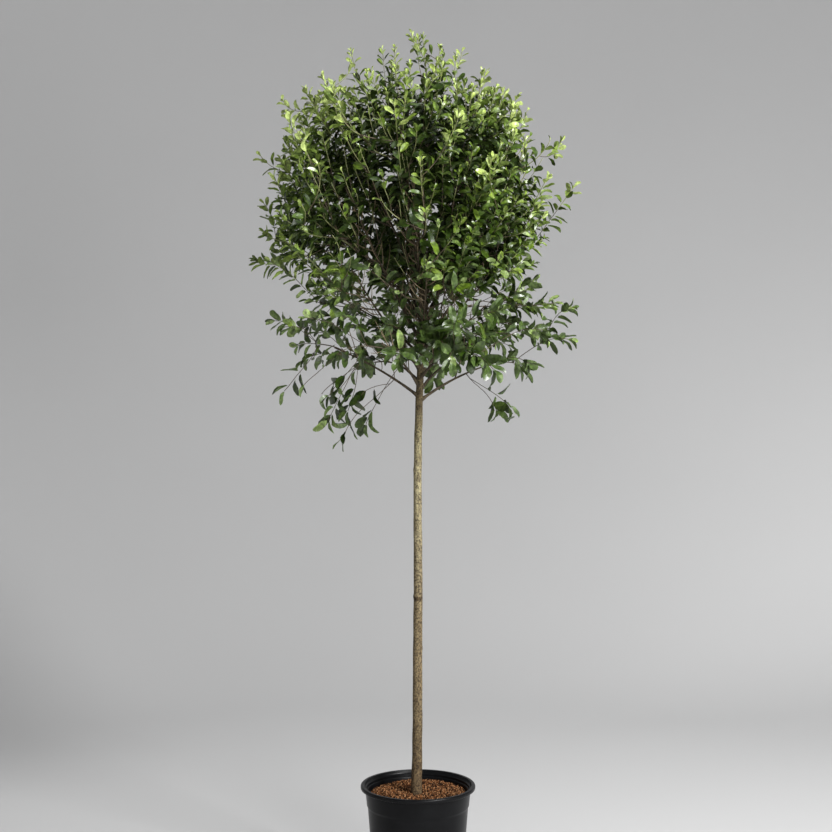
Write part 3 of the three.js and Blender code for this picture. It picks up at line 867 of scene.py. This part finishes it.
def make_leaves(twigs, looks):
    """One piece for each kind of leaf, with its upper and lower material."""
    rng = np.random.default_rng(SEED)
    columns = zip(*place_leaves(twigs, rng))
    leaves = Values(**{name: np.array(column) for name, column in zip(LEAF_ROW, columns)})
    turn_leaves(leaves, rng)
    size_leaves(leaves, rng)
    vertices = leaf_vertices(leaves, rng)
    upper, lower = blade_faces()
    a, b, c = range(BLADE_VERTICES, LEAF_VERTICES)
    lower += [(a, b, 0), (b, c, 0), (c, a, 0), (a, c, b)]
    shades = [0] * len(upper) + [1] * len(lower)
    kinds = leaf_classes(leaves, rng)
    pieces = []
    for kind, (name, pair) in enumerate(looks):
        chosen = vertices[kinds == kind]
        starts = range(0, LEAF_VERTICES * len(chosen), LEAF_VERTICES)
        faces = [tuple(start + v for v in face) for start in starts for face in upper + lower]
        piece = mesh_object(name, chosen.reshape(-1, 3), faces, pair, shades * len(chosen))
        piece.data.set_sharp_from_angle(angle=LEAF.sharp)
        pieces.append(piece)
    return pieces


# Materials


class Look:
    """A material in the making. Its patterns lie in the object's own space, in metres."""

    def __init__(self, name, roughness, specular):
        self.material = bpy.data.materials.new(name)
        self.material.use_nodes = True
        self.tree = self.material.node_tree
        self.set_inputs(self.shader, {"Roughness": roughness, "Specular IOR Level": specular})

    @property
    def shader(self):
        return self.tree.nodes["Principled BSDF"]

    def set_inputs(self, node, inputs):
        """Sets inputs to values, or links them to other nodes' outputs."""
        for name, value in inputs.items():
            if isinstance(value, bpy.types.NodeSocket):
                self.tree.links.new(value, node.inputs[name])
            else:
                node.inputs[name].default_value = value

    def node(self, kind, inputs):
        node = self.tree.nodes.new("ShaderNode" + kind)
        self.set_inputs(node, inputs)
        return node

    def place(self):
        return self.node("TexCoord", {}).outputs["Object"]

    def noise(self, scale, detail, stretch=None):
        place = self.place()
        if stretch:
            place = self.node("Mapping", {"Vector": place, "Scale": stretch}).outputs["Vector"]
        return self.node("TexNoise", {"Vector": place, "Scale": scale, "Detail": detail}).outputs["Fac"]

    def along_height(self, low, high):
        """0 at one height and 1 at another."""
        height = self.node("SeparateXYZ", {"Vector": self.place()}).outputs["Z"]
        span = {"Value": height, "From Min": low, "From Max": high}
        return self.node("MapRange", span).outputs["Result"]

    def ramp(self, source, stops):
        """Colours at places along a pattern, blended between."""
        node = self.node("ValToRGB", {"Fac": source})
        points = node.color_ramp.elements
        while len(points) < len(stops):
            points.new(0.5)
        for point, (place, colour) in zip(points, stops):
            point.position = place
            point.color = (*colour, 1)
        return node.outputs["Color"]

    def multiplied(self, first, second):
        node = self.node("Mix", {"Factor": 1})
        node.data_type = "RGBA"
        node.blend_type = "MULTIPLY"
        self.set_inputs(node, {"A": first, "B": second})
        return node.outputs["Result"]

    def paint(self, colours):
        self.set_inputs(self.shader, {"Base Color": colours})

    def bump(self, source, height, strength):
        relief = {"Height": source, "Distance": height, "Strength": strength}
        self.set_inputs(self.shader, {"Normal": self.node("Bump", relief).outputs["Normal"]})


def scaled(colour, factor):
    return tuple(channel * factor for channel in colour)


def leaf_material(name, colour, roughness, specular):
    look = Look(name, roughness, specular)
    stops = [(0.34, scaled(colour, 0.55)), (0.66, scaled(colour, 1.5))]
    look.paint(look.ramp(look.noise(scale=130, detail=3), stops))
    look.bump(look.noise(scale=420, detail=2), height=0.0003, strength=0.5)
    return look.material


def stem_material():
    """Bark: brown at the foot, grey-tan from half way up, dark at the fork with the crown's shade painted in.
    """
    look = Look("bark", roughness=0.85, specular=0.25)
    tone = look.ramp(look.along_height(GROUND, STEM_TOP), BARK_TONES)
    broad = look.ramp(look.noise(85, 3, stretch=(1, 1, 0.4)), BLOTCHES)
    fine = look.ramp(look.noise(260, 3, stretch=(1, 1, 0.8)), SPECKS)
    look.paint(look.multiplied(look.multiplied(tone, broad), fine))
    look.bump(look.noise(330, 4, stretch=(1, 1, 0.7)), height=0.0006, strength=0.8)
    return look.material


def bough_material():
    # Dark bark, with the crown's shade painted in
    look = Look("bough_bark", roughness=0.82, specular=0.3)
    look.paint(look.ramp(look.noise(90, 6, stretch=(1, 1, 0.45)), BOUGH_TONES))
    look.bump(look.noise(360, 5, stretch=(1, 1, 0.6)), height=0.0006, strength=0.7)
    return look.material


def plain_material(name, dark, pale, scale, roughness, specular=0.4, bump_height=0.0002):
    look = Look(name, roughness, specular)
    look.paint(look.ramp(look.noise(scale, detail=4), [(0.3, dark), (0.7, pale)]))
    look.bump(look.noise(scale * 5, detail=4), bump_height, strength=0.6)
    return look.material


def studio_material():
    look = Look("studio", roughness=0.95, specular=0.1)
    stops = [(0.3, (0.545, 0.545, 0.545)), (0.7, (0.565, 0.565, 0.565))]
    look.paint(look.ramp(look.noise(scale=0.4, detail=2), stops))
    return look.material


# Stem and boughs


def knot_swell(height, angle):
    """How far old knots stand out of the stem."""
    swell = np.zeros(np.broadcast(height, angle).shape)
    for place, facing, size, spread in KNOTS:
        turn = np.angle(np.exp(1j * (angle - facing)))
        swell += size * np.exp(-(((height - place) / KNOT_TALL) ** 2) - (turn / spread) ** 2)
    return swell


def stem_relief(heights, angle, rng):
    """How far the bark stands out at each height and turn."""
    grid_h, grid_a = np.meshgrid(heights, angle, indexing="ij")
    relief = knot_swell(grid_h, grid_a)
    for _ in range(RIPPLES.count):
        waves = rng.uniform(*RIPPLES.waves)
        turns = rng.integers(*RIPPLES.turns)
        phase = rng.uniform(0, 6.28)
        relief += RIPPLES.height * np.sin(grid_h * waves + turns * grid_a + phase)
    for _ in range(BUMPS.count):
        at = rng.uniform(heights[0], heights[-1])
        facing = rng.uniform(0, 2 * math.pi)
        tall, wide, size = (rng.uniform(*limits) for limits in (BUMPS.tall, BUMPS.wide, BUMPS.height))
        near = np.abs(heights - at) < 3 * tall
        turn = np.angle(np.exp(1j * (angle - facing))) * BUMPS.on
        spot = np.exp(-(((heights[near] - at) / tall) ** 2))[:, None] * np.exp(-((turn / wide) ** 2))
        relief[near] += size * spot
    return relief


def make_stem(look):
    rings, count = STEM_MESH.rings, STEM_MESH.round
    heights = np.linspace(GROUND - STEM_MESH.sunk, STEM_TOP, rings)
    relief = stem_relief(heights, around(count), np.random.default_rng(SEED + 2))
    radius = look_up(STEM_RINGS, heights, 3)[:, None] + relief
    vertices = stem_at(heights)[:, None] + level_ring(1, 0, count) * radius[..., None]
    return mesh_object("stem_bark", vertices.reshape(-1, 3), tube_faces(rings, count, 0), [look])


def make_boughs(boughs, look):
    """All boughs in one mesh, each with a collar at its foot and ripples along it."""
    runs = []
    for bough in boughs:
        old = np.linspace(0, 1, len(bough.points))
        share = np.linspace(0, 1, BOUGH_MESH.finer * len(bough.points))
        points = along_line(bough.points, old, share)
        radii = np.interp(share, old, bough.radii)
        along = share * np.linalg.norm(np.diff(points, axis=0), axis=1).sum()
        collar = 1 + BOUGH_MESH.collar * np.exp(-((along / BOUGH_MESH.collar_length) ** 2))
        ripple = 1 + 0.05 * np.sin(along * 160 + len(runs)) + 0.03 * np.sin(along * 410)
        runs.append((points, radii * collar * ripple))
    return tubes("bough_bark", runs, BOUGH_MESH.round, look)


def twig_runs(twigs):
    """The twigs' brown parts and green ends, as pairs of points and radii."""
    brown, green = [], []
    for twig in twigs:
        length = GREEN_END.length if twig.points[-1][2] > GREEN_END.above else 0.0
        young = int(np.argmax(twig.from_tip() <= length))
        if young > 0:
            brown.append((twig.points[: young + 1], twig.radii[: young + 1]))
        if len(twig.points) - young > 1:
            green.append((twig.points[young:], twig.radii[young:]))
    return brown, green


# Pot and potting mix


def lathe(name, profile, segments, look):
    """A closed turned body. The profile's first and last points are on the axis."""
    inner = profile[1:-1]
    rings = np.concatenate([level_ring(radius, height, segments) for radius, height in inner])
    vertices = [(0, 0, profile[0][1]), *rings.tolist(), (0, 0, profile[-1][1])]
    faces = []
    last = len(vertices) - 1
    for j in range(segments):
        k = (j + 1) % segments
        faces.append((0, 1 + k, 1 + j))
        for i in range(len(inner) - 1):
            a, b = 1 + i * segments + j, 1 + i * segments + k
            faces.append((a, b, b + segments, a + segments))
        end = 1 + (len(inner) - 1) * segments
        faces.append((end + j, end + k, last))
    return mesh_object(name, vertices, faces, [look])


def arc(centre, radius, start, end, steps):
    """Points of a round corner in a profile, angles in degrees."""
    turns = [math.radians(start + (end - start) * i / steps) for i in range(steps + 1)]
    return [(centre[0] + radius * math.cos(a), centre[1] + radius * math.sin(a)) for a in turns]


def wall_at(height):
    """The outer radius of the pot's tapered wall at a height."""
    return POT.base + (POT.wall_top - POT.base) / POT.band_foot * height


def pot_profile():
    """Half of the pot's section: up the outside, over the rolled rim and down the inside."""
    rim, band, top, base = POT.rim, POT.band, POT.height, POT.base
    wall, floor, corner = POT.wall, POT.floor, POT.base_round
    under, over, inside = POT.rim_rounds
    lip = top - POT.lip
    profile = [(0, 0.0)]
    profile += arc((base - corner, corner), corner, -90, -8, 5)
    profile += [(wall_at(z), z) for z in (0.02, 0.06, 0.10, 0.14, 0.18, 0.21, POT.step)]
    profile += [(wall_at(0.2255) + 0.0002, 0.2255)]
    profile += [(band + out, z) for out, z in BAND_POINTS]
    profile += [(band, lip - 0.0012), (band + 0.0012, lip), (rim - under, lip)]
    profile += arc((rim - under, lip + under), under, -90, 0, 4)[1:]
    profile += arc((rim - over, top - over), over, 0, 90, 6)
    profile += arc((rim - POT.rim_flat, top - inside), inside, 90, 170, 4)
    profile += [(rim + out, top + up) for out, up in RIM_POINTS]
    profile += [(band + out, z) for out, z in INNER_POINTS]
    profile += [(wall_at(POT.step) - wall, POT.step + 0.002)]
    profile += [(wall_at(z) - wall, z) for z in (0.15, 0.08, 0.01)]
    profile += [(wall_at(floor) - corner, floor), (0, floor)]
    return profile


def drain_rods():
    """Rods through the pot's floor, one for each hole."""
    build = bmesh.new()
    size = DRAINS.radius
    for place in level_ring(DRAINS.out, 0, DRAINS.count):
        rod = bmesh.ops.create_cone(
            build, cap_ends=True, segments=24, radius1=size, radius2=size, depth=DRAINS.depth
        )
        bmesh.ops.translate(build, verts=rod["verts"], vec=place)
    mesh = bpy.data.meshes.new("drain_rods")
    build.to_mesh(mesh)
    build.free()
    return place_object("drain_rods", mesh)


def make_pot(look):
    """The pot, with its drain holes cut out of the mesh."""
    pot = lathe("nursery_pot", pot_profile(), 128, look)
    rods = drain_rods()
    holes = pot.modifiers.new("drains", "BOOLEAN")
    holes.operation = "DIFFERENCE"
    holes.solver = "EXACT"
    holes.object = rods
    graph = bpy.context.evaluated_depsgraph_get()
    cut_mesh = bpy.data.meshes.new_from_object(pot.evaluated_get(graph))
    pot.modifiers.clear()
    pot.data = cut_mesh
    bpy.data.objects.remove(rods)
    pot.data.set_sharp_from_angle(angle=math.radians(40))
    return pot


def mix_height(radius, angle):
    """The mix's surface: low at the stem and the wall and mounded between, most at the back right."""
    back_right = 0.5 + 0.5 * np.cos(angle - MIX_MOUND.facing)
    mound = MIX_MOUND.height * back_right * (radius / MIX_MOUND.at)
    rough = 0.0012 * np.sin(radius * 210 + 3 * angle) + 0.001 * np.sin(radius * 330 - 5 * angle + 1.3)
    away = np.hypot(radius * np.cos(angle) - MIX_HOLLOW.x, radius * np.sin(angle) - MIX_HOLLOW.y)
    hollow = MIX_HOLLOW.depth * np.exp(-((away / MIX_HOLLOW.size) ** 2))
    return look_up(MIX_SURFACE, radius) + mound + rough - hollow


def mix_rings(rng):
    """The rings of the mix's body, out over its surface and down the pot's wall."""
    radii = np.linspace(MIX.inner, MIX.wall, MIX.rings)
    grid_r, grid_a = np.meshgrid(radii, around(MIX.segments), indexing="ij")
    top = mix_height(grid_r, grid_a) - MIX.under + rng.normal(0, MIX.rough, grid_r.shape)
    return [level_ring(radius, height, MIX.segments) for radius, height in [*zip(radii, top), *MIX_SIDE]]


def small_ball():
    """The vertices and faces of a ball with a radius of 1."""
    ball = bmesh.new()
    bmesh.ops.create_icosphere(ball, subdivisions=1, radius=1)
    shape = np.array([v.co for v in ball.verts])
    faces = [tuple(v.index for v in face.verts) for face in ball.faces]
    ball.free()
    return shape, faces


def rough_chip(shape, size, rng):
    """A ball flattened, with its corners moved, turned any way."""
    stretch = np.array([1.0, rng.uniform(0.6, 1), rng.uniform(0.45, 0.85)]) * size
    spin = np.linalg.qr(rng.normal(size=(3, 3)))[0]
    if np.linalg.det(spin) < 0:
        spin[:, 0] *= -1
    return (shape * rng.uniform(0.75, 1.2, (len(shape), 1)) * stretch) @ spin.T


def make_mix(looks):
    """The mix's body, in the first look, with loose granules on it, each in one of the others."""
    rng = np.random.default_rng(SEED + 3)
    rings = mix_rings(rng)
    faces = [tuple(reversed(face)) for face in tube_faces(len(rings), MIX.segments, 0)]
    face_looks = [0] * len(faces)
    vertices = [np.concatenate(rings)]
    first = len(vertices[0])
    shape, pattern = small_ball()
    for _ in range(GRANULES.count):
        radius = GRANULES.out * math.sqrt(rng.uniform(GRANULES.nearest, 1))
        turn = rng.uniform(0, 2 * math.pi)
        size = rng.uniform(*GRANULES.size)
        if rng.uniform() < GRANULES.large_share:
            size *= GRANULES.large
        if radius + 1.5 * size > GRANULES.clear:
            continue
        chip = rough_chip(shape, size, rng)
        height = mix_height(radius, turn) + rng.uniform(*GRANULES.lift)
        vertices.append(chip + [radius * math.cos(turn), radius * math.sin(turn), height])
        faces.extend(tuple(first + v for v in face) for face in pattern)
        face_looks.extend([1 + int(rng.integers(0, len(looks) - 1))] * len(pattern))
        first += len(shape)
    vertices = np.concatenate(vertices)
    return mesh_object("potting_mix_granules", vertices, faces, looks, face_looks, smooth=False)


# Stage


def stage_profile():
    """Radii and heights of the stage: the flat floor, the bend and the wall."""
    flat, bend = STAGE.flat, STAGE.bend
    turns = np.radians(np.arange(STAGE.degrees, 91, STAGE.degrees))
    profile = [(1.0, 0.0), (flat, 0.0)]
    profile += [(flat + bend * math.sin(a), bend - bend * math.cos(a)) for a in turns]
    profile += [(flat + bend, STAGE.top)]
    return profile


def make_stage(look):
    """A floor that curves up into a wall all round, the same in every view."""
    segments = STAGE.segments
    rings = np.concatenate([level_ring(radius, height, segments) for radius, height in stage_profile()])
    middle = len(rings)
    faces = [(middle, j, (j + 1) % segments) for j in range(segments)]
    for first in range(0, middle - segments, segments):
        for j in range(segments):
            a, b = first + j, first + (j + 1) % segments
            faces.append((a, a + segments, b + segments, b))
    mesh_object("studio_floor", [*rings, (0, 0, 0)], faces, [look])


def add_lamp(name, place, target, size, power):
    data = bpy.data.lights.new(name, "AREA")
    data.shape = "DISK"
    data.size = size
    data.energy = power
    lamp = place_object(name, data)
    lamp.location = place
    way = Vector(target) - Vector(place)
    lamp.rotation_euler = way.to_track_quat("-Z", "Y").to_euler()
    lamp.visible_camera = False


def add_camera():
    data = bpy.data.cameras.new("camera")
    data.sensor_width = CAMERA.sensor
    data.lens = CAMERA.lens
    camera = place_object("camera", data)
    camera.location = CAMERA.place
    camera.rotation_euler = (math.pi / 2, 0, 0)
    bpy.context.scene.camera = camera


def add_world(colour, strength):
    world = bpy.data.worlds.new("studio")
    world.use_nodes = True
    shade = world.node_tree.nodes["Background"]
    shade.inputs["Color"].default_value = (*colour, 1)
    shade.inputs["Strength"].default_value = strength
    bpy.context.scene.world = world


# Assembly

boughs, twigs = grow_crown()
bough_nodes = sorted(name for name in frame["nodes"] if name.startswith("bough_"))
foliage_nodes = sorted(name for name in frame["nodes"] if name.startswith("foliage_"))

bark = stem_material()
bough_look = bough_material()
# The twigs' bark is darker than the spurs': its own brown with the crown's shade painted in
twig_look = plain_material("twig_bark_with_painted_shade", (0.034, 0.024, 0.014), (0.088, 0.064, 0.036), 60, 0.7)
spur_look = plain_material("spur_bark", (0.075, 0.055, 0.030), (0.205, 0.155, 0.090), 80, 0.8)
green_look = plain_material("green_twig", (0.115, 0.125, 0.045), (0.200, 0.205, 0.085), 60, 0.5)
plastic = plain_material("pot_plastic", *PLASTIC, 30, roughness=0.33, specular=0.13, bump_height=0.00006)
mix_looks = [plain_material(*values) for values in MIX_LOOKS]
leaf_looks = []
for kind, upper_colour, lower_colour, shine in LEAF_COLOURS:
    label = "leaves_" + kind
    upper_look = leaf_material(label, upper_colour, 0.34, shine)
    lower_look = leaf_material(label + "_underside", lower_colour, 0.6, 0.6 * shine)
    leaf_looks.append((label, [upper_look, lower_look]))

dressed(make_stem(bark), "bark", "stem")
dressed(make_boughs(boughs, bough_look), "bark", *bough_nodes)
spurs = grow_spurs(boughs, seeded(SEED + 11))
dressed(tubes("bare_spurs", [(spur.points, spur.radii) for spur in spurs], 4, spur_look), "bark")
brown_runs, green_runs = twig_runs(twigs)
dressed(tubes("twigs_brown", brown_runs, 5, twig_look), "bark")
dressed(tubes("twigs_green", green_runs, 5, green_look), "bark")

leaf_pieces = make_leaves(twigs, leaf_looks)
for piece in leaf_pieces[1:]:
    dressed(piece, "leaves")
dressed(leaf_pieces[0], "leaves", *foliage_nodes)

dressed(make_pot(plastic), "pot_plastic", "pot")
dressed(make_mix(mix_looks), "potting_mix", "potting_mix")

make_stage(studio_material())
for lamp_values in LAMPS:
    add_lamp(*lamp_values)
add_world((0.97, 0.98, 1.0), 0.22)
add_camera()
bpy.context.scene.view_settings.view_transform = "Standard"
